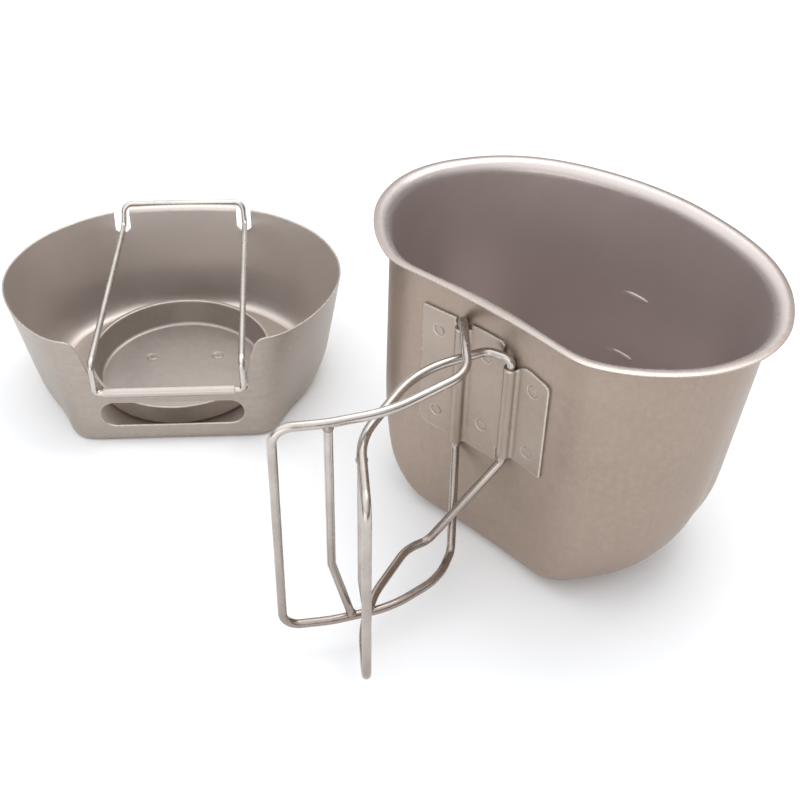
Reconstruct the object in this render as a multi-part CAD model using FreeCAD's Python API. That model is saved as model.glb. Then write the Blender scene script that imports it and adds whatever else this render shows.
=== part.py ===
import FreeCAD, Part
import math
import os

# Nested camp cook set, in millimetres, Z up.
# The kidney-shaped cup stands with its base centre at the origin and its concave front towards
# -Y; two folding wire handles hinge on a bracket there. The notched stove pan, with its fuel
# dish and wire bail, stands to the left of the cup, turned about Z.

Vector = FreeCAD.Vector
os.makedirs("parts", exist_ok=True)

# ---------------------------------------------------------------- outlines and wall tables
OUTLINE_POLES = 88            # poles round an outline, two for each measured point
# The taper and base edge tables give one value for each of these directions a wall faces,
# in degrees from the concave front
FACING = (0, 9, 25, 50, 90, 135, 180)
# stations up the rounded bottom edge, degrees
BASE_ARC_DEG = (90, 78, 64, 50, 36, 22, 10)

# cup
CUP_HEIGHT = 108.0
CUP_SHEET = 0.7
LIP_RADIUS_V = 4.0            # vertical radius under the trumpet lip
LIP_WIDTH = 5.4               # horizontal width of the lip beyond the wall
LIP_CURL_DEG = 112.0          # how far the lip rolls over
LIP_STATIONS_DEG = (8, 20, 34, 48, 62, 76, 90, 102, LIP_CURL_DEG)
CUP_WALL_STATIONS = (0.0, 0.15, 0.35, 0.55, 0.75, 0.9, 0.97)  # fractions of the wall height
CUP_TAPER = (0.0, 0.0, -1.5, -1.0, 9.0, 8.8, 6.0)
CUP_BASE_R = (10.0, 14.0, 21.0, 42.0, 48.0, 36.0, 20.0)       # height of the bottom edge
FLARE_Z = CUP_HEIGHT - LIP_RADIUS_V - CUP_SHEET               # where the lip starts

# Half outlines, (x, y) from back middle to front middle.
# Flat floor of the cup:
CUP_FLOOR = [
    (0, 29.0), (5, 28.8), (10, 28.0), (15, 26.6), (19.5, 24.3), (23.5, 21.2), (27, 17.3),
    (29.8, 12.8), (31.8, 8.0), (33.0, 3.0), (33.6, -2.0), (33.6, -7.0), (33.2, -12.0),
    (32.3, -16.8), (31.0, -21.3), (29.2, -25.5), (27.0, -29.2), (24.2, -32.5), (21.0, -35.0),
    (17.0, -36.9), (12.0, -38.0), (6.0, -38.4), (0, -38.5)]
# Outer edge of the cup lip:
LIP = [
    (0, 51.4), (10, 50.9), (20, 49.3), (30, 46.9), (40, 43.4), (49, 38.8), (57, 32.8),
    (64, 25.4), (69.5, 17), (73.3, 9), (75.3, 1), (75.6, -7), (74.2, -15), (71.2, -23),
    (66.8, -30.5), (60.5, -37.6), (53, -44), (45.5, -48.4), (38.5, -50.9), (30.5, -50.8),
    (20.5, -49.9), (10, -49.5), (0, -49.4)]
# Wall of the concave front, in place of the last points of the plain lip offset:
FRONT_WALL = [(43.4, -43.6), (36.6, -46.0), (29.2, -46.3), (19.8, -45.4), (10.0, -44.3),
              (0.0, -43.9)]
# Rim of the stove, in the stove's own frame:
RIM = [
    (0, 53.0), (10, 52.8), (19, 52.2), (27, 51.0), (35, 48.4), (42.5, 44.3), (49.5, 39.0),
    (56, 32.8), (61.3, 25.2), (65.2, 16.6), (67.5, 7.8), (68.0, -1), (66.9, -8.8),
    (64.2, -17), (60.3, -25), (55.2, -32.4), (49.5, -38.6), (44.2, -42.6), (39.5, -44.5),
    (34, -45.2), (24, -45.2), (12, -45.2), (0, -45.2)]

# graduation marks pressed into the back wall
MARK_CENTRES = ((-3.1, 66.1), (-5.0, 39.3))  # x, z
MARK_LENGTH = 12.6
MARK_WIDTH = 2.3
MARK_RIDGE = 0.55             # height of the ridge inside
MARK_GROOVE = 0.34            # depth of the groove outside

# ---------------------------------------------------------------- wires and welds
WIRE_R = 1.5                  # handle wire
HINGE_CLEARANCE = 0.08        # round a wire in its hinge
END_GAP_HALF = 0.03           # half the gap where the two ends of a wire meet
WELD_FIT = 0.005              # radial clearance of a spot weld in its sheet
WELD_PROUD = 0.02             # how far a spot weld stands above its sheet
FRONT_TOOL_Y = -60.0          # front cutting tools start here, ahead of every wall


# ---------------------------------------------------------------- general helpers
def edge(*points):
    """line through two points, arc through three"""
    curve = Part.LineSegment(*points) if len(points) == 2 else Part.Arc(*points)
    return curve.toShape()


def polygon_face(points):
    return Part.Face(Part.makePolygon(points + points[:1]))


def save(shape, name):
    if len(shape.Solids) == 1:
        shape = shape.Solids[0]
    shape.exportStep("parts/%s.step" % name)


def largest_solid(shape):
    return max(shape.Solids, key=lambda solid: solid.Volume)


def outward(solid):
    if solid.Volume < 0:
        solid.reverse()
    return solid


# ---------------------------------------------------------------- outline helpers
def ring(half):
    """evenly stepped points on the closed curve through a half outline and its mirror"""
    full = half + [(-x, y) for x, y in half[-2:0:-1]]
    curve = Part.BSplineCurve()
    curve.interpolate(Points=[Vector(x, y, 0) for x, y in full], PeriodicFlag=True,
                      Parameters=[float(i) for i in range(len(full) + 1)])
    step = len(full) / OUTLINE_POLES
    return [(p.x, p.y) for p in (curve.value(i * step) for i in range(OUTLINE_POLES))]


def outward_normals(points):
    normals = []
    for i in range(OUTLINE_POLES):
        x0, y0 = points[i - 1]
        x1, y1 = points[(i + 1) % OUTLINE_POLES]
        length = math.hypot(x1 - x0, y1 - y0)
        normals.append((-(y1 - y0) / length, (x1 - x0) / length))
    return normals


def step_in(point, normal, distance):
    return point[0] - normal[0] * distance, point[1] - normal[1] * distance


def facing_value(table, normal):
    """value of a table for the direction the wall faces"""
    angle = math.degrees(math.acos(max(-1.0, min(1.0, -normal[1]))))
    for k in range(len(FACING) - 1):
        if angle <= FACING[k + 1]:
            fraction = (angle - FACING[k]) / (FACING[k + 1] - FACING[k])
            return table[k] + (table[k + 1] - table[k]) * fraction
    return table[-1]


RING_KNOTS = [float(k) for k in range(OUTLINE_POLES + 1)]
RING_MULTS = [1] * (OUTLINE_POLES + 1)


def skin(rows, degree=3):
    """surface with closed rows of poles; the degree is the one across the rows"""
    poles = [[row[i] for row in rows] for i in range(OUTLINE_POLES)]
    mults = [degree + 1] + [1] * (len(rows) - degree - 1) + [degree + 1]
    knots = [float(k) for k in range(len(mults))]
    surface = Part.BSplineSurface()
    surface.buildFromPolesMultsKnots(poles, RING_MULTS, mults, RING_KNOTS, knots,
                                     True, False, 3, degree)
    return surface.toShape()


def outline_curve(row):
    curve = Part.BSplineCurve()
    curve.buildFromPolesMultsKnots(row, RING_MULTS, RING_KNOTS, True, 3)
    return curve


def cap(row):
    return Part.Face(Part.Wire([outline_curve(row).toShape()]))


def sheet_vessel(outer, inner):
    """solid between an outer and an inner skin, each given as rows from the floor up"""
    shell = Part.Shell([skin(outer), skin(inner), skin([outer[-1], inner[-1]], degree=1),
                        cap(outer[0]), cap(inner[0])])
    shell.sewShape()
    if shell.ShapeType != "Shell":
        shell = shell.Shells[0]
    return outward(Part.Solid(shell))


def wall_rows(outline, taper, base_r, height, inset, stations, floor=None, base_ratio=1.0):
    """rows of a drawn wall up to the given height, set in by the sheet for the inner skin

    The bottom edge runs in to the floor outline, or without one to a width of base_ratio
    times its height.
    """
    normals = outward_normals(outline)
    radii = [facing_value(base_r, normal) - inset for normal in normals]

    def wall_point(k, z):
        depth = facing_value(taper, normals[k]) * (1 - z / height) + inset
        return step_in(outline[k], normals[k], depth)

    rows = []
    for degrees in BASE_ARC_DEG:
        rise = 1 - math.sin(math.radians(degrees))
        pull = 1 - math.cos(math.radians(degrees))
        row = []
        for k, radius in enumerate(radii):
            z = inset + radius * rise
            x, y = wall_point(k, z)
            if floor is None:
                x, y = step_in((x, y), normals[k], radius * base_ratio * pull)
            else:
                x += (floor[k][0] - x) * pull
                y += (floor[k][1] - y) * pull
            row.append(Vector(x, y, z))
        rows.append(row)
    for fraction in stations:
        row = []
        for k, radius in enumerate(radii):
            z = inset + radius + (height - inset - radius) * fraction
            x, y = wall_point(k, z)
            row.append(Vector(x, y, z))
        rows.append(row)
    return rows


# ---------------------------------------------------------------- wire helpers
def bent_path(points):
    """lines joined by tangent arcs; points are (vector, bend radius)"""
    edges = []
    last = points[0][0]
    for i in range(1, len(points) - 1):
        corner, radius = points[i]
        back = (points[i - 1][0] - corner).normalize()
        ahead = (points[i + 1][0] - corner).normalize()
        half_angle = back.getAngle(ahead) / 2
        cut = radius / math.tan(half_angle)
        start, stop = corner + back * cut, corner + ahead * cut
        inward = (back + ahead).normalize()
        centre = corner + inward * (radius / math.sin(half_angle))
        if (start - last).Length > 1e-6:
            if (start - last).dot(corner - last) < 0:
                raise ValueError("bend %d is too tight for its legs" % i)
            edges.append(edge(last, start))
        edges.append(edge(start, centre - inward * radius, stop))
        last = stop
    edges.append(edge(last, points[-1][0]))
    return Part.Wire(edges)


def wire_solid(points, radius):
    direction = points[1][0] - points[0][0]
    profile = Part.Wire([Part.Circle(points[0][0], direction, radius).toShape()])
    solid = bent_path(points).makePipeShell([profile], True, False)
    if solid.ShapeType != "Solid":
        solid = Part.Solid(solid)
    return outward(solid)


# ---------------------------------------------------------------- cup shell
lip = ring(LIP)
lip_normals = outward_normals(lip)
wall = ring([step_in(point, lip_normals[2 * k], LIP_WIDTH)
             for k, point in enumerate(LIP[:-len(FRONT_WALL)])] + FRONT_WALL)


def lip_rows(offset):
    """rows of the trumpet lip, from the wall outwards and over"""
    full_curl = 1 - math.cos(math.radians(LIP_CURL_DEG))
    rows = []
    for degrees in LIP_STATIONS_DEG:
        angle = math.radians(degrees)
        z = FLARE_Z + (LIP_RADIUS_V + offset) * math.sin(angle)
        row = []
        for (wall_x, wall_y), (lip_x, lip_y) in zip(wall, lip):
            width = math.hypot(lip_x - wall_x, lip_y - wall_y)
            radius = width / full_curl
            reach = (radius - (radius + offset) * math.cos(angle)) / width
            row.append(Vector(wall_x + (lip_x - wall_x) * reach,
                              wall_y + (lip_y - wall_y) * reach, z))
        rows.append(row)
    return rows


def pressed_mark(x, y, z, depth):
    tool = Part.makeSphere(1.0)
    stretch = FreeCAD.Matrix()
    stretch.scale(Vector(MARK_LENGTH / 2, depth, MARK_WIDTH / 2))
    tool = tool.transformGeometry(stretch)
    tool.translate(Vector(x, y, z))
    return tool


def make_cup():
    floor = ring(CUP_FLOOR)
    outer, inner = [wall_rows(wall, CUP_TAPER, CUP_BASE_R, FLARE_Z, inset, CUP_WALL_STATIONS,
                              floor) + lip_rows(inset) for inset in (0.0, CUP_SHEET)]
    cup = sheet_vessel(outer, inner)
    for x, z in MARK_CENTRES:
        probe = edge(Vector(x, 20, z), Vector(x, 80, z))
        hits = sorted(vertex.Point.y for vertex in probe.common(cup).Vertexes)
        cup = cup.fuse(pressed_mark(x, hits[0], z, MARK_RIDGE))
        cup = cup.cut(pressed_mark(x, hits[-1], z, MARK_GROOVE))
    return cup.Solids[0]


def sample_front():
    """(x, y) points of the outer front wall, sorted by x"""
    curve = outline_curve([Vector(x, y, 0) for x, y in wall])
    points = [curve.value(OUTLINE_POLES * (0.30 + 0.40 * k / 2000.0)) for k in range(2001)]
    return sorted((p.x, p.y) for p in points if p.y < -20)


front_samples = sample_front()


def front_y(x):
    """outer face of the concave front wall"""
    low, high = 0, len(front_samples) - 1
    while high - low > 1:
        middle = (low + high) // 2
        if front_samples[middle][0] <= x:
            low = middle
        else:
            high = middle
    (x0, y0), (x1, y1) = front_samples[low], front_samples[high]
    return y0 + (y1 - y0) * (x - x0) / (x1 - x0)


cup_shell = make_cup()
save(cup_shell, "cup_shell")

# ---------------------------------------------------------------- handle bracket
BRACKET_SHEET = 0.8
BRACKET_GAP = 0.04            # between the sheet and the cup wall
BRACKET_LEFT_X, BRACKET_STEP_X, BRACKET_RIGHT_X = -28.2, 5.6, 26.0
BRACKET_LEFT_Z = (44.5, 94.5)     # bottom and top, left of the step
BRACKET_RIGHT_Z = (50.5, 90.0)    # bottom and top, right of the step
BRACKET_CORNER_Z = 88.4           # top of the right-hand corner
CHANNEL_LEFT_TOP_Z, CHANNEL_RIGHT_TOP_Z = 92.4, 87.4
CHANNEL_FILLET = 1.0              # where a channel flows into the flat sheet
HINGE_X = (-11.3, 9.8)
BORE_R = WIRE_R + HINGE_CLEARANCE
CHANNEL_R = BORE_R + BRACKET_SHEET
HINGES = [(x, front_y(x) - BORE_R) for x in HINGE_X]
# x, z of the plate corner, radius, directions into the plate along x and z
BRACKET_CORNERS = (
    (BRACKET_LEFT_X, BRACKET_LEFT_Z[0], 4.5, 1, 1),
    (BRACKET_LEFT_X, BRACKET_LEFT_Z[1], 1.2, 1, -1),
    (BRACKET_STEP_X, BRACKET_LEFT_Z[1], 1.6, -1, -1),
    (BRACKET_STEP_X, BRACKET_LEFT_Z[0], 1.6, -1, 1),
    (BRACKET_RIGHT_X, BRACKET_CORNER_Z, 1.4, -1, -1),
    (BRACKET_RIGHT_X, BRACKET_RIGHT_Z[0], 1.0, -1, 1))
BRACKET_WELDS = ((-21.0, 86.5), (-21.0, 52.5), (-1.6, 85.0), (-1.6, 56.0),
                 (19.3, 83.0), (19.3, 57.5))  # x, z
BRACKET_WELD_R = 2.0
BRACKET_WELD_LENGTH = 2.0         # before it is trimmed to the wall
# ring-shaped dent in a weld: ring radius, section radius, height of its centre off the sheet
BRACKET_DENT = (1.5, 0.26, 0.14)


def off_wall(x, gap):
    return Vector(x, front_y(x) - gap, 0)


def wall_line(x0, x1, gap):
    """edge that follows the wall at a distance"""
    count = max(4, int(abs(x1 - x0) / 3.0))
    curve = Part.BSplineCurve()
    curve.interpolate(Points=[off_wall(x0 + (x1 - x0) * k / count, gap)
                              for k in range(count + 1)])
    return curve.toShape()


def channel_fillet(hinge_x, hinge_y, side, gap):
    """fillet from sheet to channel, as points on the sheet, mid arc and on the channel"""
    reach = CHANNEL_R + CHANNEL_FILLET
    x = hinge_x + side * reach
    for _ in range(6):
        y = front_y(x) - gap - CHANNEL_FILLET
        x = hinge_x + side * math.sqrt(reach ** 2 - (y - hinge_y) ** 2)
    y = front_y(x) - gap - CHANNEL_FILLET
    ratio = CHANNEL_R / reach
    centre = Vector(x, y, 0)
    on_ring = Vector(hinge_x + (x - hinge_x) * ratio, hinge_y + (y - hinge_y) * ratio, 0)
    on_plate = Vector(x, y + CHANNEL_FILLET, 0)
    middle = centre + ((on_ring + on_plate) * 0.5 - centre).normalize() * CHANNEL_FILLET
    return on_plate, middle, on_ring


def bracket_profile():
    """plan section of the sheet: flat, channel, flat, channel, flat"""
    inside, outside = BRACKET_GAP, BRACKET_GAP + BRACKET_SHEET
    edges = []
    # wall side, left to right
    x = BRACKET_LEFT_X
    for hinge_x, hinge_y in HINGES:
        left, right = hinge_x - BORE_R, hinge_x + BORE_R
        bore_left, bore_right = Vector(left, hinge_y, 0), Vector(right, hinge_y, 0)
        edges += [wall_line(x, left, inside),
                  edge(off_wall(left, inside), bore_left),
                  edge(bore_left, Vector(hinge_x, hinge_y - BORE_R, 0), bore_right),
                  edge(bore_right, off_wall(right, inside))]
        x = right
    edges.append(wall_line(x, BRACKET_RIGHT_X, inside))
    # outer side, right to left
    x = BRACKET_RIGHT_X
    edges.append(edge(off_wall(x, inside), off_wall(x, outside)))
    for hinge_x, hinge_y in reversed(HINGES):
        plate_1, middle_1, ring_1 = channel_fillet(hinge_x, hinge_y, 1, outside)
        plate_2, middle_2, ring_2 = channel_fillet(hinge_x, hinge_y, -1, outside)
        edges += [wall_line(x, plate_1.x, outside),
                  edge(plate_1, middle_1, ring_1),
                  edge(ring_1, Vector(hinge_x, hinge_y - CHANNEL_R, 0), ring_2),
                  edge(ring_2, middle_2, plate_2)]
        x = plate_2.x
    edges.append(wall_line(x, BRACKET_LEFT_X, outside))
    edges.append(edge(off_wall(BRACKET_LEFT_X, outside), off_wall(BRACKET_LEFT_X, inside)))
    return Part.Wire(edges)


def corner_cut(x, z, radius, side_x, side_z):
    """tool that rounds one plate corner; the sides point into the plate"""
    def low(start, side, size, overlap):
        return start - overlap if side > 0 else start - size

    centre_x, centre_z = x + side_x * radius, z + side_z * radius
    box = Part.makeBox(radius + 2, 30, radius + 2,
                       Vector(low(x, side_x, radius, 2), FRONT_TOOL_Y, low(z, side_z, radius, 2)))
    cylinder = Part.makeCylinder(radius, 40, Vector(centre_x, FRONT_TOOL_Y - 5, centre_z),
                                 Vector(0, 1, 0))
    keep = Part.makeBox(radius + 3, 30, radius + 3,
                        Vector(low(centre_x, side_x, radius + 3, 0), FRONT_TOOL_Y,
                               low(centre_z, side_z, radius + 3, 0)))
    return box.cut(cylinder).cut(keep)


def make_bracket():
    bottom, top = BRACKET_LEFT_Z
    bracket = Part.Face(bracket_profile()).extrude(Vector(0, 0, top - bottom))
    bracket.translate(Vector(0, 0, bottom))
    # the right-hand part is shorter, above and below
    for z in (BRACKET_RIGHT_Z[1], BRACKET_RIGHT_Z[0] - 30):
        bracket = bracket.cut(Part.makeBox(40, 30, 30, Vector(BRACKET_STEP_X, FRONT_TOOL_Y, z)))
    # each channel ends a little below the top edge, so that the wire can turn over it
    bracket = bracket.cut(Part.makeBox(
        2 * CHANNEL_R + 1.6, 30, 20,
        Vector(HINGE_X[0] - CHANNEL_R - 0.8, FRONT_TOOL_Y, CHANNEL_LEFT_TOP_Z)))
    # right of the second channel the top edge rises from the channel's mouth, then falls
    # gently to the corner
    mouth_left = HINGE_X[1] - CHANNEL_R - 0.8
    channel_right = HINGE_X[1] + CHANNEL_R
    mouth_z = CHANNEL_RIGHT_TOP_Z
    top_edge = [(mouth_left, mouth_z + 20), (mouth_left, mouth_z),
                (channel_right - 0.3, mouth_z), (channel_right + 1.2, mouth_z + 1.5),
                (channel_right + 2.9, BRACKET_RIGHT_Z[1] - 0.15),
                (channel_right + 5.0, BRACKET_RIGHT_Z[1] - 0.05),
                (BRACKET_RIGHT_X + 1, BRACKET_CORNER_Z), (BRACKET_RIGHT_X + 1, mouth_z + 20)]
    above = polygon_face([Vector(x, FRONT_TOOL_Y, z) for x, z in top_edge])
    bracket = bracket.cut(above.extrude(Vector(0, 30, 0)))
    for corner in BRACKET_CORNERS:
        bracket = bracket.cut(corner_cut(*corner))
    for x, z in BRACKET_WELDS:
        bracket = bracket.cut(Part.makeCylinder(BRACKET_WELD_R + WELD_FIT, 12,
                                                Vector(x, -52, z), Vector(0, 1, 0)))
    return largest_solid(bracket)


def bracket_weld(x, z):
    """spot weld trimmed to the curve of the cup wall"""
    face_y = front_y(x)
    sheet_y = face_y - BRACKET_SHEET
    ring_r, section_r, lift = BRACKET_DENT
    nugget = Part.makeCylinder(BRACKET_WELD_R, BRACKET_WELD_LENGTH,
                               Vector(x, sheet_y - WELD_PROUD, z), Vector(0, 1, 0))
    nugget = nugget.cut(Part.makeTorus(ring_r, section_r, Vector(x, sheet_y - lift, z),
                                       Vector(0, 1, 0)))
    behind = [(across, front_y(across) - 0.01) for across in (x - 4, x, x + 4)]
    behind += [(x + 4, face_y + 6), (x - 4, face_y + 6)]
    tool = polygon_face([Vector(px, py, z - 4) for px, py in behind]).extrude(Vector(0, 0, 8))
    return nugget.cut(tool).cut(cup_shell)


save(make_bracket(), "handle_bracket")
save(Part.Compound([solid for x, z in BRACKET_WELDS for solid in bracket_weld(x, z).Solids]),
     "bracket_spot_welds")

# ---------------------------------------------------------------- folding handles
END_CORNER_R = 6.0            # bends at the far end of a loop
KINK_R = 5.0                  # bends where the bottom bar rises to the channel
CHANNEL_EXIT = 2.3            # how far below its channel the wire bends
BRACE_R = WIRE_R - 0.1
BRACE_CRANK_Z = 38.5
BRACE_CRANK_R = 7.0
BEAD_R = 1.8
BEAD_OFFSET = 1.45            # bead centre along the brace from the bar's centre line
BEAD_MIN_VOLUME = 0.3         # smaller scraps are left out
WELD_GAP = 0.01               # between a bar, a brace and a bead
# Plan points are (distance out from the hinge, sideways distance); the bars add a bend radius.
# "side" is the x direction of sideways; the braces give their distance out from the hinge.
HANDLES = (
    {"name": "left", "hinge": HINGES[0], "side": 1, "channel_foot_z": BRACKET_LEFT_Z[0],
     "top_z": 97.0, "bottom_z": 11.5, "turn_r": 4.0,
     "top": [((21.2, 21.2), 14.0), ((51.0, 17.4), 45.0), ((68.0, 8.4), 45.0)],
     "bottom": [((29.0, 20.6), 25.0), ((50.0, 18.2), 40.0), ((68.0, 8.4), 45.0)],
     "kink": (16.8, 15.0), "end": (81.0, -1.2), "brace_top": 67.6, "brace_bottom": 61.9},
    {"name": "right", "hinge": HINGES[1], "side": -1, "channel_foot_z": BRACKET_RIGHT_Z[0],
     "top_z": 91.0, "bottom_z": 15.8, "turn_r": 2.6,
     "top": [((2.4, 8.2), 4.6), ((25.9, 16.9), 38.0), ((60.9, 6.3), 30.0)],
     "bottom": [((30.0, 15.2), 16.0), ((53.0, 8.2), 40.0), ((66.0, 0.3), 45.0)],
     "kink": (22.0, 12.8), "end": (80.3, -16.1), "brace_top": 66.1, "brace_bottom": 60.7})


def handle_points(handle):
    """bend points of a loop, starting and ending halfway up its hinge"""
    hinge_x, hinge_y = handle["hinge"]
    top_z, bottom_z = handle["top_z"], handle["bottom_z"]
    exit_z = handle["channel_foot_z"] - CHANNEL_EXIT
    middle_z = (top_z + exit_z) / 2.0

    def at(plan, z):
        return Vector(hinge_x + handle["side"] * plan[1], hinge_y - plan[0], z)

    return ([(at((0, 0), middle_z + END_GAP_HALF), 0.0), (at((0, 0), top_z), handle["turn_r"])]
            + [(at(plan, top_z), radius) for plan, radius in handle["top"]]
            + [(at(handle["end"], z), END_CORNER_R) for z in (top_z, bottom_z)]
            + [(at(plan, bottom_z), radius) for plan, radius in reversed(handle["bottom"])]
            + [(at(handle["kink"], bottom_z), KINK_R), (at((0, 0), exit_z), KINK_R),
               (at((0, 0), middle_z - END_GAP_HALF), 0.0)])


def station(points, hinge, distance, z):
    """point of the loop's centre line at a distance from the hinge, nearest to height z"""
    y = hinge[1] - distance
    left, right = hinge[0] - 100, hinge[0] + 100
    plane = polygon_face([Vector(left, y, -20), Vector(right, y, -20),
                          Vector(right, y, 150), Vector(left, y, 150)])
    found = []
    for bar in bent_path(points).Edges:
        found += [vertex.Point for vertex in bar.common(plane).Vertexes]
        distance_off, pairs, _ = bar.distToShape(plane)
        if distance_off < 1e-6:
            found += [on_bar for on_bar, _ in pairs]
    return min(found, key=lambda point: abs(point.z - z))


def make_handle(handle):
    points = handle_points(handle)
    save(wire_solid(points, WIRE_R), handle["name"] + "_handle_loop")

    top = station(points, handle["hinge"], handle["brace_top"], handle["top_z"])
    bottom = station(points, handle["hinge"], handle["brace_bottom"], handle["bottom_z"])
    crank = Vector(top.x, top.y, BRACE_CRANK_Z)
    brace_points = [(top, 0.0), (crank, BRACE_CRANK_R), (bottom, 0.0)]
    loop_cope = wire_solid(points, WIRE_R + WELD_GAP)
    brace = wire_solid(brace_points, BRACE_R).cut(loop_cope)
    save(largest_solid(brace), handle["name"] + "_handle_brace")

    brace_cope = wire_solid(brace_points, BRACE_R + WELD_GAP)
    beads = []
    for point, along in ((top, Vector(0, 0, -1)), (bottom, (crank - bottom).normalize())):
        bead = Part.makeSphere(BEAD_R, point + along * BEAD_OFFSET)
        bead = bead.cut(loop_cope).cut(brace_cope)
        beads += [solid for solid in bead.Solids if solid.Volume > BEAD_MIN_VOLUME]
    save(Part.Compound(beads), handle["name"] + "_brace_welds")


for handle in HANDLES:
    make_handle(handle)

# ---------------------------------------------------------------- stove
# Built in its own frame, front towards -Y, and then placed.
STOVE_PLACE = FreeCAD.Placement(Vector(-157.2, -56.2, 0),
                                FreeCAD.Rotation(Vector(0, 0, 1), 47.8))
STOVE_HEIGHT = 48.6
STOVE_SHEET = 0.6
STOVE_TAPER = (0.0, 1.2, 3.4, 9.4, 8.4, 7.6, 3.0)
STOVE_BASE_R = (2.2, 2.6, 3.4, 4.8, 18.0, 10.0, 8.0)
STOVE_BASE_RATIO = 0.5        # width of the rounded bottom edge against its height
STOVE_WALL_STATIONS = (0.0, 0.2, 0.4, 0.6, 0.8, 1.0)
STOVE_FRONT_Y = RIM[-1][1]

BAIL_R = 1.25
BAIL_BORE_R = BAIL_R + 0.08
BAIL_LEG_Z = 40.2             # of the legs at the rear notches
BAIL_KINK_Z = 39.0            # of the legs at the front
BAIL_FRONT_X, BAIL_REAR_X = 28.7, 26.5
BAIL_REAR_Y = 53.4
BAIL_CROSSBAR_Y, BAIL_CROSSBAR_Z = 56.6, 49.0

BARREL_HALF = 25.4            # half length of the hinge barrel
BARREL_Z = 25.3
BARREL_Y = STOVE_FRONT_Y - BAIL_BORE_R - 0.05

NOTCH_SLOPE = 0.3             # sideways run of the notch sides for each unit of height
NOTCH_LOW_X, NOTCH_LOW_Z = 29.6, 31.0
SHOULDER_R = 5.0
BARREL_END_GAP = 0.2
RELIEF_GAP = 0.35             # clearance round the bail wire
RELIEF_CHAMFER = 0.9

PORT_Z = (7.4, 19.0)
PORT_HALF = 28.2
REAR_NOTCH_X = (23.2, 29.6)
REAR_NOTCH_Z = 38.7
REAR_NOTCH_EASE = 1.7

TAB_HALF = REAR_NOTCH_X[0]
TAB_CURL_R = 1.5              # to the middle of the sheet
TAB_CURL_DEG = 105
TAB_CURL_Z = STOVE_HEIGHT - 0.9
TAB_OVERLAP = 0.4             # how far the curl runs down into the wall


def placed(shape):
    moved = shape.copy()
    moved.transformShape(STOVE_PLACE.toMatrix())
    return moved


def notch_side(side):
    """pieces of one side of the front notch, from above the rim down to the barrel"""
    def at(x, z):
        return Vector(side * x, FRONT_TOOL_Y, z)

    tilt = math.atan(NOTCH_SLOPE)
    centre_z = STOVE_HEIGHT - SHOULDER_R
    centre_x = (NOTCH_LOW_X + NOTCH_SLOPE * (centre_z - NOTCH_LOW_Z)
                + SHOULDER_R / math.cos(tilt))

    def shoulder(angle):
        return at(centre_x - SHOULDER_R * math.cos(angle),
                  centre_z + SHOULDER_R * math.sin(angle))

    crest, foot = at(centre_x, STOVE_HEIGHT), shoulder(tilt)
    # the short relief at the end of the barrel, where the bail wire turns up
    side_x, side_z = NOTCH_LOW_X - 0.1, NOTCH_LOW_Z - 0.3
    relief_x = BAIL_FRONT_X + BAIL_R + RELIEF_GAP
    relief_z = BARREL_Z - BAIL_R - RELIEF_GAP
    end_x = BARREL_HALF + BARREL_END_GAP
    down = [foot, at(side_x, side_z), at(relief_x, side_z - 2.0),
            at(relief_x, relief_z + RELIEF_CHAMFER), at(relief_x - RELIEF_CHAMFER, relief_z),
            at(end_x, relief_z), at(end_x, BARREL_Z)]
    return ([(at(centre_x, 70), crest), (crest, shoulder(math.pi / 4 + tilt / 2), foot)]
            + list(zip(down, down[1:])))


def front_notch():
    left = notch_side(-1)
    right = [piece[::-1] for piece in reversed(notch_side(1))]
    pieces = left + [(left[-1][-1], right[0][0])] + right + [(right[-1][-1], left[0][0])]
    outline = Part.Wire([edge(*piece) for piece in pieces])
    return Part.Face(outline).extrude(Vector(0, 24, 0))


def port():
    """air and fuel port: a long slot with round ends"""
    radius = (PORT_Z[1] - PORT_Z[0]) / 2.0
    z = (PORT_Z[0] + PORT_Z[1]) / 2.0
    end_x = PORT_HALF - radius
    slot = Part.makeBox(2 * end_x, 20, 2 * radius, Vector(-end_x, FRONT_TOOL_Y, z - radius))
    slot = slot.fuse([Part.makeCylinder(radius, 20, Vector(side * end_x, FRONT_TOOL_Y, z),
                                        Vector(0, 1, 0)) for side in (-1, 1)])
    return slot.removeSplitter()


def rear_notch(side):
    """notch for a bail leg, corners eased"""
    x0, x1 = REAR_NOTCH_X
    ease_z = REAR_NOTCH_Z + REAR_NOTCH_EASE
    points = [(x0, 70), (x0, ease_z), (x0 + REAR_NOTCH_EASE, REAR_NOTCH_Z),
              (x1 - REAR_NOTCH_EASE, REAR_NOTCH_Z), (x1, ease_z), (x1, 70)]
    face = polygon_face([Vector(side * x, 30, z) for x, z in points])
    return face.extrude(Vector(0, 40, 0))


def curl_section(x, rim_y):
    """section of the tab's roll: starts in line with the wall and turns outwards"""
    inner_r, outer_r = TAB_CURL_R - STOVE_SHEET * 0.5, TAB_CURL_R + STOVE_SHEET * 0.5
    centre_y = rim_y + inner_r
    root_z = TAB_CURL_Z - TAB_OVERLAP

    def at(radius, turned):
        angle = math.radians(180 - turned)
        return Vector(x, centre_y + radius * math.cos(angle),
                      TAB_CURL_Z + radius * math.sin(angle))

    inner = [at(inner_r, TAB_CURL_DEG * part) for part in (0, 0.5, 1)]
    outer = [at(outer_r, TAB_CURL_DEG * part) for part in (1, 0.5, 0)]
    outer_root = Vector(x, centre_y - outer_r, root_z)
    inner_root = Vector(x, centre_y - inner_r, root_z)
    return Part.Wire([edge(*inner), edge(inner[-1], outer[0]), edge(*outer),
                      edge(outer[-1], outer_root), edge(outer_root, inner_root),
                      edge(inner_root, inner[0])])


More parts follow.
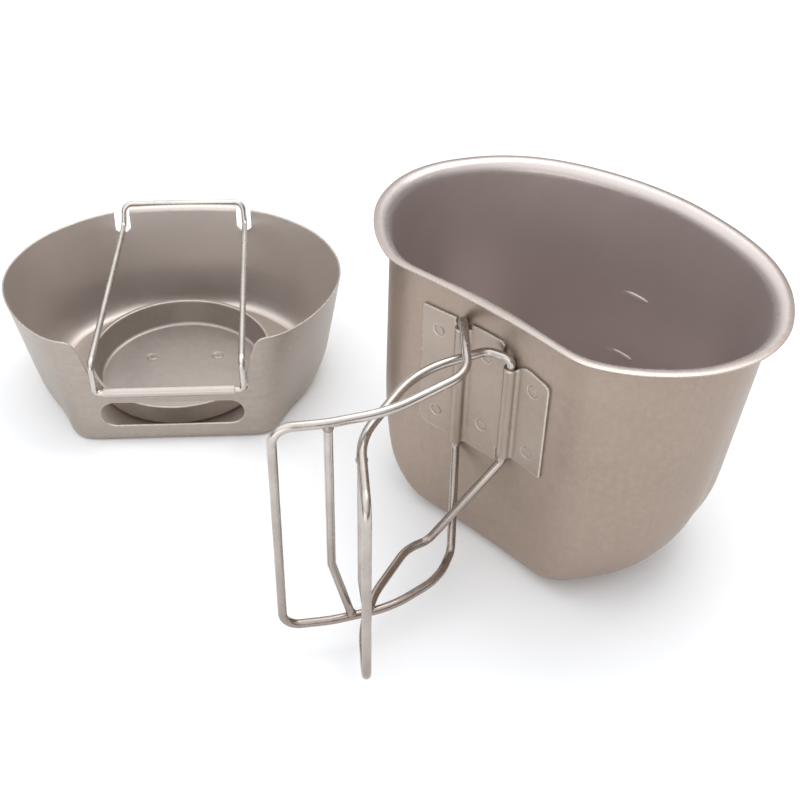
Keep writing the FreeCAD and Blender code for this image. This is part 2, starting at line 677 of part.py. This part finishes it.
def tab_curl(rim):
    rim_edge = outline_curve([Vector(x, y, 0) for x, y in rim]).toShape()
    sections = []
    for k in range(9):
        x = -TAB_HALF + 2 * TAB_HALF * k / 8.0
        probe = edge(Vector(x, 20, 0), Vector(x, 80, 0))
        sections.append(curl_section(x, probe.distToShape(rim_edge)[1][0][0].y))
    return Part.makeLoft(sections, True, False)


def hinge_barrel():
    """top edge of the front wall rolled outwards round the bail wire"""
    along = Vector(1, 0, 0)
    over_length = 2 * BARREL_HALF + 2
    over_x = -BARREL_HALF - 1
    tube = Part.makeCylinder(BAIL_BORE_R + STOVE_SHEET, 2 * BARREL_HALF,
                             Vector(-BARREL_HALF, BARREL_Y, BARREL_Z), along)
    tube = tube.cut(Part.makeCylinder(BAIL_BORE_R, over_length,
                                      Vector(over_x, BARREL_Y, BARREL_Z), along))
    # the free edge of the roll stands a hair off the wall
    tube = tube.cut(Part.makeBox(over_length, 0.45, 1.9,
                                 Vector(over_x, STOVE_FRONT_Y - 0.27, BARREL_Z - 2.2)))
    return largest_solid(tube)


def make_stove():
    rim = ring(RIM)
    outer, inner = [wall_rows(rim, STOVE_TAPER, STOVE_BASE_R, STOVE_HEIGHT, inset,
                              STOVE_WALL_STATIONS, base_ratio=STOVE_BASE_RATIO)
                    for inset in (0.0, STOVE_SHEET)]
    stove = sheet_vessel(outer, inner)
    for tool in (front_notch(), port(), rear_notch(-1), rear_notch(1)):
        stove = stove.cut(tool)
    # the flat top of the rear tab makes way for its curl
    stove = stove.cut(Part.makeBox(2 * TAB_HALF, 20, 10, Vector(-TAB_HALF, 40, TAB_CURL_Z)))
    stove = stove.fuse(tab_curl(rim))
    stove = stove.fuse(hinge_barrel())
    return largest_solid(stove)


save(placed(make_stove()), "stove_shell")

# ---------------------------------------------------------------- fuel dish
DISH_Y = -2.5
DISH_RIM_R = 38.0
DISH_FLOOR_R = 35.4
DISH_RIM_Z = 12.4
DISH_SHEET = 0.6
DISH_BEND_R = 2.2             # outside of the bend from floor to wall
DISH_WELDS = ((-14.1, 7.9), (14.1, 7.9))  # x, y
DISH_WELD_R = 2.4
DISH_DENT = (1.7, 0.3, 0.18)  # as BRACKET_DENT


def dish_section():
    """half section in the XZ plane, from the axis outwards"""
    def at(x, z):
        return Vector(x, 0, z)

    bottom = STOVE_SHEET      # the dish rests on the stove floor
    floor_top = bottom + DISH_SHEET
    bend_x, bend_z = DISH_FLOOR_R - DISH_BEND_R, bottom + DISH_BEND_R
    lean = math.atan2(DISH_RIM_R - 1.1 - DISH_FLOOR_R, DISH_RIM_Z - DISH_BEND_R)
    start, stop = -math.pi / 2, -lean

    def bend(radius):
        return [at(bend_x + radius * math.cos(angle), bend_z + radius * math.sin(angle))
                for angle in (start, (start + stop) / 2, stop)]

    outer, inner = bend(DISH_BEND_R), bend(DISH_BEND_R - DISH_SHEET)
    top_out = at(DISH_RIM_R - 1.0, DISH_RIM_Z - 1.2)
    top_in = at(top_out.x - DISH_SHEET, top_out.z + 0.1)
    rim_low, rim_top = at(DISH_RIM_R, DISH_RIM_Z - 0.55), at(DISH_RIM_R, DISH_RIM_Z)
    rim_in = at(DISH_RIM_R - 1.2, DISH_RIM_Z)
    return Part.Wire([
        edge(at(0, bottom), at(bend_x, bottom)), edge(*outer), edge(outer[-1], top_out),
        edge(top_out, rim_low), edge(rim_low, rim_top), edge(rim_top, rim_in),
        edge(rim_in, at(top_in.x + 0.1, top_in.z + 0.75), top_in),
        edge(top_in, inner[-1]), edge(*inner[::-1]),
        edge(at(bend_x, floor_top), at(0, floor_top)), edge(at(0, floor_top), at(0, bottom))])


def make_dish():
    dish = Part.Face(dish_section()).revolve(Vector(0, 0, 0), Vector(0, 0, 1), 360)
    dish.translate(Vector(0, DISH_Y, 0))
    for x, y in DISH_WELDS:
        dish = dish.cut(Part.makeCylinder(DISH_WELD_R + WELD_FIT, 5, Vector(x, y, 0)))
    return dish.Solids[0]


def dish_weld(x, y):
    ring_r, section_r, lift = DISH_DENT
    nugget = Part.makeCylinder(DISH_WELD_R, DISH_SHEET + WELD_PROUD, Vector(x, y, STOVE_SHEET))
    return nugget.cut(Part.makeTorus(ring_r, section_r,
                                     Vector(x, y, STOVE_SHEET + DISH_SHEET + lift)))


save(placed(make_dish()), "fuel_dish")
save(placed(Part.Compound([solid for x, y in DISH_WELDS for solid in dish_weld(x, y).Solids])),
     "dish_spot_welds")


# ---------------------------------------------------------------- bail
def make_bail():
    """wire from the middle of the barrel, up and back to the crossbar, and mirrored"""
    half = [(Vector(END_GAP_HALF, BARREL_Y, BARREL_Z), 0.0),
            (Vector(BAIL_FRONT_X, BARREL_Y, BARREL_Z), 2.0),
            (Vector(BAIL_FRONT_X, BARREL_Y, BAIL_KINK_Z), 3.5),
            (Vector(BAIL_REAR_X, BAIL_REAR_Y, BAIL_LEG_Z), 3.0),
            (Vector(BAIL_REAR_X - 0.6, BAIL_CROSSBAR_Y, BAIL_CROSSBAR_Z), 4.0)]
    mirrored = [(Vector(-p.x, p.y, p.z), radius) for p, radius in reversed(half)]
    return wire_solid(half + mirrored, BAIL_R)


save(placed(make_bail()), "bail_loop")
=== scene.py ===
"""A blasted sheet-metal cup with wire handles and a bail, and a stove shell with a fuel dish.

Metres, +Z up. The cup's axis is the Z axis; the stove stands beside it, towards -X.
The camera looks down from the +X -Y side, which is called the front here.
"""
import bpy
import math
from mathutils import Matrix, Vector

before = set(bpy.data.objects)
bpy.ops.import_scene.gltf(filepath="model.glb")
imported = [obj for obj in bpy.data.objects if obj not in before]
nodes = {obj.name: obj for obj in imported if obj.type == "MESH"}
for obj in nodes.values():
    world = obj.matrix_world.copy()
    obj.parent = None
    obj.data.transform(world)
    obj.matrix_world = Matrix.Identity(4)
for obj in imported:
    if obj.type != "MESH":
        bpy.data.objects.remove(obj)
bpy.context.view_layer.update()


def rgb(*channels):
    """sRGB 0-255 to linear RGBA"""
    def linear(c):
        c /= 255.0
        return c / 12.92 if c <= 0.04045 else ((c + 0.055) / 1.055) ** 2.4
    return (*map(linear, channels), 1.0)


# ---------------------------------------------------------------- sizes and places
CUP_CENTRE = (0.0, 0.0)
CUP_LIP = (0.1035, 0.1065)              # heights between which the lip's polish and painted highlight fade in
CUP_MARKS = ((-0.0031, 0.0433, 0.0661), (-0.0050, 0.0415, 0.0393))   # on the +Y wall
MARK_HALF_SIZE = (0.0064, 0.006, 0.00105)

STOVE_CENTRE = (-0.1572, -0.0562)
STOVE_FRONT = (0.7408, -0.6717, 0.0)    # direction from the stove's centre to its front
ROLL_START = 0.0453                     # distance that way at which the rolled edge begins
ROLL_FADE = 0.0007

WIRE_SHADE_HEIGHTS = (0.085, 0.010)              # heights: the painted shade starts at the first, is full at the second

FLOOR_HALF = 6.0
FLOOR_Z = -0.0004

# ---------------------------------------------------------------- colours
WARM_DARK = rgb(150, 134, 121)
WARM_LIGHT = rgb(186, 171, 161)
DISH_LIGHT = rgb(186, 178, 172)
WORN_EDGE_AND_HIGHLIGHT = rgb(232, 226, 214)


# ---------------------------------------------------------------- node helpers
class NodeKit:
    """Adds linked nodes to a node tree; each helper returns an output socket."""

    def __init__(self, tree):
        self.tree = tree

    def fill(self, node, inputs):
        """link or set each input of a node"""
        for key, value in inputs.items():
            if isinstance(value, bpy.types.NodeSocket):
                self.tree.links.new(value, node.inputs[key])
            else:
                node.inputs[key].default_value = value

    def node(self, kind, inputs=None, **settings):
        node = self.tree.nodes.new(kind)
        for key, value in settings.items():
            setattr(node, key, value)
        self.fill(node, inputs or {})
        return node

    def math(self, operation, a, b, clamp=False):
        return self.node("ShaderNodeMath", {0: a, 1: b}, operation=operation,
                         use_clamp=clamp).outputs[0]

    def vector(self, operation, *values):
        node = self.node("ShaderNodeVectorMath", dict(enumerate(values)), operation=operation)
        return node.outputs["Value" if operation in ("DOT_PRODUCT", "LENGTH") else "Vector"]

    def mix(self, amount, a, b):
        return self.node("ShaderNodeMix", {0: amount, 6: a, 7: b}, data_type="RGBA").outputs[2]

    def noise(self, coords, scale, detail, rough, distortion=0.0):
        return self.node("ShaderNodeTexNoise", {
            "Vector": coords, "Scale": scale, "Detail": detail, "Roughness": rough,
            "Distortion": distortion}).outputs[0]

    def remap(self, value, span, to=(0.0, 1.0)):
        """map the span's two ends onto the two values of to, clamped"""
        return self.node("ShaderNodeMapRange", {
            0: value, 1: span[0], 2: span[1], 3: to[0], 4: to[1]}).outputs[0]

    def tint(self, colour, towards, by, span, amount=1.0):
        """shift a colour towards another, by up to amount as a value crosses the span"""
        return self.mix(self.remap(by, span, to=(0.0, amount)), colour, towards)

    def height(self, place):
        return self.node("ShaderNodeSeparateXYZ", {0: place}).outputs[2]


class Surface(NodeKit):
    """A new material with one Principled shader."""

    def __init__(self, name):
        self.material = bpy.data.materials.new(name)
        self.material.use_nodes = True
        super().__init__(self.material.node_tree)
        self.tree.nodes.clear()
        output = self.node("ShaderNodeOutputMaterial")
        self.bsdf = self.node("ShaderNodeBsdfPrincipled")
        self.fill(output, {"Surface": self.bsdf.outputs["BSDF"]})

    def object_coords(self):
        return self.node("ShaderNodeTexCoord").outputs["Object"]


# ---------------------------------------------------------------- sheet metal
def paint_inside_light(kit, geometry, colour, centre, inside_light_colour):
    """painted light: a lighter, cooler colour on faces that look towards the vessel's axis

    Returns the colour, the inside mask and the horizontal vector from the axis.
    """
    outward = kit.vector("SUBTRACT", geometry["Position"], (*centre, 0.0))
    outward = kit.vector("MULTIPLY", outward, (1.0, 1.0, 0.0))
    facing = kit.vector("DOT_PRODUCT", outward, geometry["Normal"])
    inside = kit.remap(facing, span=(0.004, -0.010))
    inside_light_mix = kit.mix(0.35, inside_light_colour, colour)
    return kit.mix(inside, colour, inside_light_mix), inside, outward


# brightens the colour where shine is set: partly polish, partly painted highlight
def polish_and_highlight(kit, colour, shine, bright):
    return kit.mix(kit.math("MULTIPLY", shine, 0.5), colour, bright)


def cup_finish_and_light(kit, geometry, colour):
    """painted light inside: lighter and cooler; a polished lip with a painted highlight; pressed
    marks with crests brightened, partly rubbed wear and partly painted highlight
    """
    place = geometry["Position"]
    # painted light: inner faces lighter and cooler
    colour, inside, _ = paint_inside_light(kit, geometry, colour, CUP_CENTRE, inside_light_colour=rgb(217, 207, 206))
    # lip: polished and smoother, with a painted highlight brightening its colour
    shine = kit.remap(kit.height(place), span=CUP_LIP)
    colour = polish_and_highlight(kit, colour, shine, bright=rgb(188, 180, 175))
    # pressed marks: crests painted brighter, partly rubbed wear and partly painted highlight
    for centre in CUP_MARKS:
        offset = kit.vector("SUBTRACT", place, centre)
        offset = kit.vector("MULTIPLY", offset, tuple(1 / half for half in MARK_HALF_SIZE))
        crest = kit.remap(kit.vector("LENGTH", offset), span=(1.05, 0.75), to=(0.0, 0.8))
        colour = kit.mix(kit.math("MULTIPLY", inside, crest), colour, rgb(214, 206, 200))
    return colour, shine


def stove_finish_and_light(kit, geometry, colour):
    """painted light inside: lighter and cooler; the rolled edge, which stands out past the front
    wall, is brighter from a painted highlight
    """
    # painted light: inner faces lighter and cooler
    colour, _, outward = paint_inside_light(kit, geometry, colour, STOVE_CENTRE,
                                     inside_light_colour=rgb(230, 221, 215))
    # rolled edge: painted highlight, and smoother
    ahead = kit.vector("DOT_PRODUCT", outward, STOVE_FRONT)
    shine = kit.remap(ahead, span=(ROLL_START, ROLL_START + ROLL_FADE))
    return polish_and_highlight(kit, colour, shine, bright=rgb(200, 192, 186)), shine


def sheet_metal(name, base, dark, light, rough, metallic, edge=0.35, edge_radius=0.0007,
                streak=0.0, streak_scale=None, finish_and_light=None):
    """bead-blasted sheet: fine blast texture, cloudy tone, faint brushing, brighter edges that are
    partly wear and partly painted highlight

    edge is the strength of the edge wear and painted edge highlight, streak that of the brushing.
    finish adds the vessel's painted inside light and highlights along with its own marks and polish,
    and returns the colour and a shine mask.
    """
    kit = Surface(name)
    geometry = kit.node("ShaderNodeNewGeometry").outputs
    coords = kit.object_coords()
    cloud = kit.noise(coords, scale=22.0, detail=3.0, rough=0.55)
    fine = kit.noise(coords, scale=420.0, detail=2.0, rough=0.6)
    speck = kit.noise(coords, scale=2600.0, detail=2.0, rough=0.7)

    colour = kit.tint(dark, towards=base, by=cloud, span=(0.30, 0.70))
    colour = kit.tint(colour, towards=light, by=fine, span=(0.35, 0.75), amount=0.22)
    colour = kit.tint(colour, towards=dark, by=speck, span=(0.35, 0.65), amount=0.10)
    # relief: mostly specks, some fine grain, and the brush lines where there are any
    speck_weight, fine_weight, line_weight = 0.6, 0.4, 0.8
    relief = kit.math("ADD", kit.math("MULTIPLY", speck, speck_weight),
                      kit.math("MULTIPLY", fine, fine_weight))
    if streak > 0:
        stretched = kit.node("ShaderNodeMapping", {"Vector": coords, "Scale": streak_scale})
        lines = kit.noise(stretched.outputs[0], scale=1.0, detail=3.0, rough=0.6)
        colour = kit.tint(colour, towards=light, by=lines, span=(0.30, 0.75), amount=streak)
        relief = kit.math("ADD", relief, kit.math("MULTIPLY", lines, line_weight))

    shine = None
    if finish_and_light:
        colour, shine = finish_and_light(kit, geometry, colour)

    # worn edge and painted edge highlight: where the rounded-off normal leaves the true one
    rounded = kit.node("ShaderNodeBevel", {"Radius": edge_radius}, samples=4).outputs[0]
    agreement = kit.vector("DOT_PRODUCT", rounded, geometry["Normal"])
    worn_and_highlit = kit.remap(agreement, span=(0.995, 0.90))
    worn_and_highlit = kit.math("MULTIPLY", worn_and_highlit, kit.remap(fine, span=(0.25, 0.6), to=(0.8, 1.0)))
    colour = kit.mix(kit.math("MULTIPLY", worn_and_highlit, edge), colour, WORN_EDGE_AND_HIGHLIGHT)

    # worn and shiny parts are smoother, and shiny parts lose most of the blast relief
    smoothing = 0.12
    blast = 0.10
    roughness = kit.math("ADD", kit.remap(fine, span=(0.3, 0.7), to=(-0.03, 0.05)), rough)
    roughness = kit.math("ADD", roughness, kit.remap(cloud, span=(0.3, 0.7), to=(-0.03, 0.03)))
    for mask in (worn_and_highlit, shine):
        if mask is not None:
            drop = kit.math("MULTIPLY", mask, smoothing)
            roughness = kit.math("SUBTRACT", roughness, drop, clamp=True)
    if shine is not None:
        blast = kit.math("MULTIPLY", kit.remap(shine, span=(0.0, 1.0), to=(1.0, 0.1)), blast)
    bump = kit.node("ShaderNodeBump", {"Strength": blast, "Distance": 0.0002, "Height": relief,
                                       "Normal": rounded})
    kit.fill(kit.bsdf, {"Base Color": colour, "Metallic": metallic, "Roughness": roughness,
                        "Normal": bump.outputs[0]})
    return kit.material


# ---------------------------------------------------------------- wire
def wire_metal(name, base, dark, rough, heat=0.0, low_shade=0.0):
    """drawn wire: fine grain, slight tone change, a few dull rub marks

    heat is the strength of the brown grain, low that of the painted shade near the floor.
    """
    kit = Surface(name)
    coords = kit.object_coords()
    cloud = kit.noise(coords, scale=60.0, detail=3.0, rough=0.6)
    fine = kit.noise(coords, scale=900.0, detail=3.0, rough=0.65)
    rub = kit.noise(coords, scale=180.0, detail=4.0, rough=0.7, distortion=0.6)

    colour = kit.tint(dark, towards=base, by=cloud, span=(0.3, 0.7))
    colour = kit.tint(colour, towards=dark, by=rub, span=(0.58, 0.72), amount=0.35)
    if heat > 0:
        colour = kit.tint(colour, towards=rgb(120, 100, 84), by=fine, span=(0.3, 0.7),
                          amount=heat)
    # painted shade: darker and browner low down, towards the floor
    colour = kit.tint(colour, towards=rgb(128, 112, 101), by=kit.height(coords),
                      span=WIRE_SHADE_HEIGHTS, amount=low_shade)

    roughness = kit.math("ADD", kit.remap(rub, span=(0.4, 0.75), to=(-0.03, 0.14)), rough)
    roughness = kit.math("ADD", roughness, kit.remap(fine, span=(0.3, 0.7), to=(-0.03, 0.05)),
                         clamp=True)
    bump = kit.node("ShaderNodeBump", {"Strength": 0.035, "Distance": 0.0001, "Height": fine})
    kit.fill(kit.bsdf, {"Base Color": colour, "Metallic": 1.0, "Roughness": roughness,
                        "Normal": bump.outputs[0]})
    return kit.material


# ---------------------------------------------------------------- materials by piece
materials = {
    "cup_shell": sheet_metal(
        "blasted_cup_sheet", base=rgb(160, 142, 129), dark=WARM_DARK, light=WARM_LIGHT,
        rough=0.38, metallic=0.68, edge=0.12, edge_radius=0.0004,
        streak=0.08, streak_scale=(1400.0, 1400.0, 26.0), finish_and_light=cup_finish_and_light),
    "handle_bracket": sheet_metal(
        "blasted_bracket_sheet", base=rgb(168, 155, 144), dark=WARM_DARK, light=WARM_LIGHT,
        rough=0.34, metallic=0.75, edge=1.0, edge_radius=0.0011),
    "bracket_spot_welds": sheet_metal(
        "spot_weld_metal", base=rgb(166, 152, 141), dark=WARM_DARK, light=WARM_LIGHT,
        rough=0.34, metallic=0.7),
    "stove_shell": sheet_metal(
        "blasted_stove_sheet", base=rgb(164, 153, 143), dark=rgb(157, 146, 137),
        light=rgb(192, 184, 177), rough=0.36, metallic=0.75, edge=0.8,
        streak=0.18, streak_scale=(40.0, 40.0, 1500.0), finish_and_light=stove_finish_and_light),
    "fuel_dish": sheet_metal(
        "blasted_dish_sheet", base=rgb(166, 157, 150), dark=rgb(158, 149, 142),
        light=DISH_LIGHT, rough=0.34, metallic=0.7, edge=0.9),
    "dish_spot_welds": sheet_metal(
        "dish_weld_metal", base=rgb(160, 151, 144), dark=rgb(148, 139, 132),
        light=DISH_LIGHT, rough=0.32, metallic=0.7),
    "bail_loop": wire_metal(
        "drawn_bail_wire", base=rgb(212, 206, 200), dark=rgb(188, 181, 175), rough=0.24),
}
handle_wire = wire_metal("drawn_handle_wire", base=rgb(200, 192, 186), dark=rgb(172, 164, 157),
                         rough=0.21, low_shade=0.6)
weld_bead = wire_metal("weld_bead_metal", base=rgb(178, 170, 163), dark=rgb(140, 130, 121),
                       rough=0.30, heat=0.25, low_shade=0.5)
for side in ("left", "right"):
    materials[f"{side}_handle_loop"] = handle_wire
    materials[f"{side}_handle_brace"] = handle_wire
    materials[f"{side}_brace_welds"] = weld_bead

for name, piece in nodes.items():
    piece.data.materials.clear()
    piece.data.materials.append(materials[name])
    for polygon in piece.data.polygons:
        polygon.use_smooth = True


# ---------------------------------------------------------------- stage
def add_object(name, data):
    added = bpy.data.objects.new(name, data)
    bpy.context.scene.collection.objects.link(added)
    return added


def build_floor():
    mesh = bpy.data.meshes.new("floor")
    corners = [(x * FLOOR_HALF, y * FLOOR_HALF, FLOOR_Z)
               for x, y in ((-1, -1), (1, -1), (1, 1), (-1, 1))]
    mesh.from_pydata(corners, [], [(0, 1, 2, 3)])
    floor = add_object("floor", mesh)
    kit = Surface("pale_floor")
    kit.fill(kit.bsdf, {"Base Color": (0.95, 0.95, 0.95, 1), "Roughness": 0.9,
                        "Specular IOR Level": 0.1})
    mesh.materials.append(kit.material)


# Sky stops: (upward component of the direction, colour). Colours are halved, because
# a ramp holds at most 1, and SKY_STRENGTH doubles them again.
SKY_STRENGTH = 2.0
EVEN_SKY = [(0.0, (0.25, 0.245, 0.24)), (0.4, (0.50, 0.50, 0.50)), (1.0, (0.80, 0.83, 0.87))]
REFLECTED_SKY = [(0.0, (0.10, 0.10, 0.10)), (0.16, (0.19, 0.185, 0.18)),
                 (0.34, (0.38, 0.38, 0.38)), (0.62, (0.78, 0.78, 0.79)),
                 (1.0, (0.95, 0.97, 1.0))]


def sky_ramp(kit, height, stops):
    ramp = kit.node("ShaderNodeValToRGB", {0: height})
    elements = ramp.color_ramp.elements
    for element, (position, colour) in zip(elements, (stops[0], stops[-1])):
        element.position = position
        element.color = (*colour, 1)
    for position, colour in stops[1:-1]:
        elements.new(position).color = (*colour, 1)
    return ramp.outputs[0]


def build_world():
    """soft white tent, with darker flags near the horizon that only reflections see"""
    world = bpy.data.worlds.new("studio")
    bpy.context.scene.world = world
    world.use_nodes = True
    kit = NodeKit(world.node_tree)
    direction = kit.node("ShaderNodeTexCoord").outputs["Generated"]
    height = kit.height(direction)
    ray = kit.node("ShaderNodeLightPath").outputs
    sky = kit.mix(ray["Is Glossy Ray"], sky_ramp(kit, height, EVEN_SKY),
                  sky_ramp(kit, height, REFLECTED_SKY))
    # a large flag keeps the camera's right, +X +Y, a little darker
    flag_side = kit.vector("DOT_PRODUCT", direction, (0.72, 0.69, 0.0))
    flag = kit.remap(flag_side, span=(-0.1, 0.9), to=(1.0, 0.5))
    dimmed = kit.node("ShaderNodeVectorMath", {0: sky, "Scale": flag}, operation="SCALE")
    # behind the floor's far edge the camera sees plain white
    backdrop = kit.mix(ray["Is Camera Ray"], dimmed.outputs[0], (0.5, 0.5, 0.5, 1))
    kit.fill(kit.tree.nodes["Background"], {0: backdrop, 1: SKY_STRENGTH})


def area_light(name, location, size, power, colour=(1, 1, 1)):
    """rectangular light aimed at the middle of the group"""
    target = (-0.05, -0.02, 0.05)
    light = bpy.data.lights.new(name, "AREA")
    light.shape = "RECTANGLE"
    light.size, light.size_y = size
    light.energy = power
    light.color = colour
    lamp = add_object(name, light)
    lamp.location = location
    aim = Vector(target) - Vector(location)
    lamp.rotation_euler = aim.to_track_quat("-Z", "Y").to_euler()


def build_camera():
    location = (0.19904, -0.29631, 0.32733)
    pitch = math.radians(39.517)       # below the horizon
    azimuth = math.radians(-43.790)    # from +Y, positive towards +X
    roll = math.radians(1.0661)
    forward = Vector((math.sin(azimuth) * math.cos(pitch),
                      math.cos(azimuth) * math.cos(pitch), -math.sin(pitch)))
    level_right = forward.cross(Vector((0, 0, 1))).normalized()
    level_up = level_right.cross(forward)
    right = level_right * math.cos(roll) + level_up * math.sin(roll)
    up = -level_right * math.sin(roll) + level_up * math.cos(roll)

    lens = bpy.data.cameras.new("camera")
    camera = add_object("camera", lens)
    pose = Matrix((right, up, -forward)).transposed().to_4x4()
    pose.translation = Vector(location)
    camera.matrix_world = pose
    lens.sensor_fit = "HORIZONTAL"
    lens.sensor_width = 36.0
    lens.lens = 55.6146
    lens.shift_x = 0.00622
    lens.shift_y = 0.0080325
    lens.clip_start = 0.01
    bpy.context.scene.camera = camera


build_floor()
build_world()
area_light("key", location=(-0.10, 0.50, 1.15), size=(0.8, 0.8), power=4.5,
           colour=(1.0, 0.99, 0.98))
area_light("fill", location=(0.30, -0.85, 0.22), size=(0.9, 0.4), power=1.8)
build_camera()

bpy.context.scene.view_settings.view_transform = "Standard"
bpy.context.scene.view_settings.look = "None"
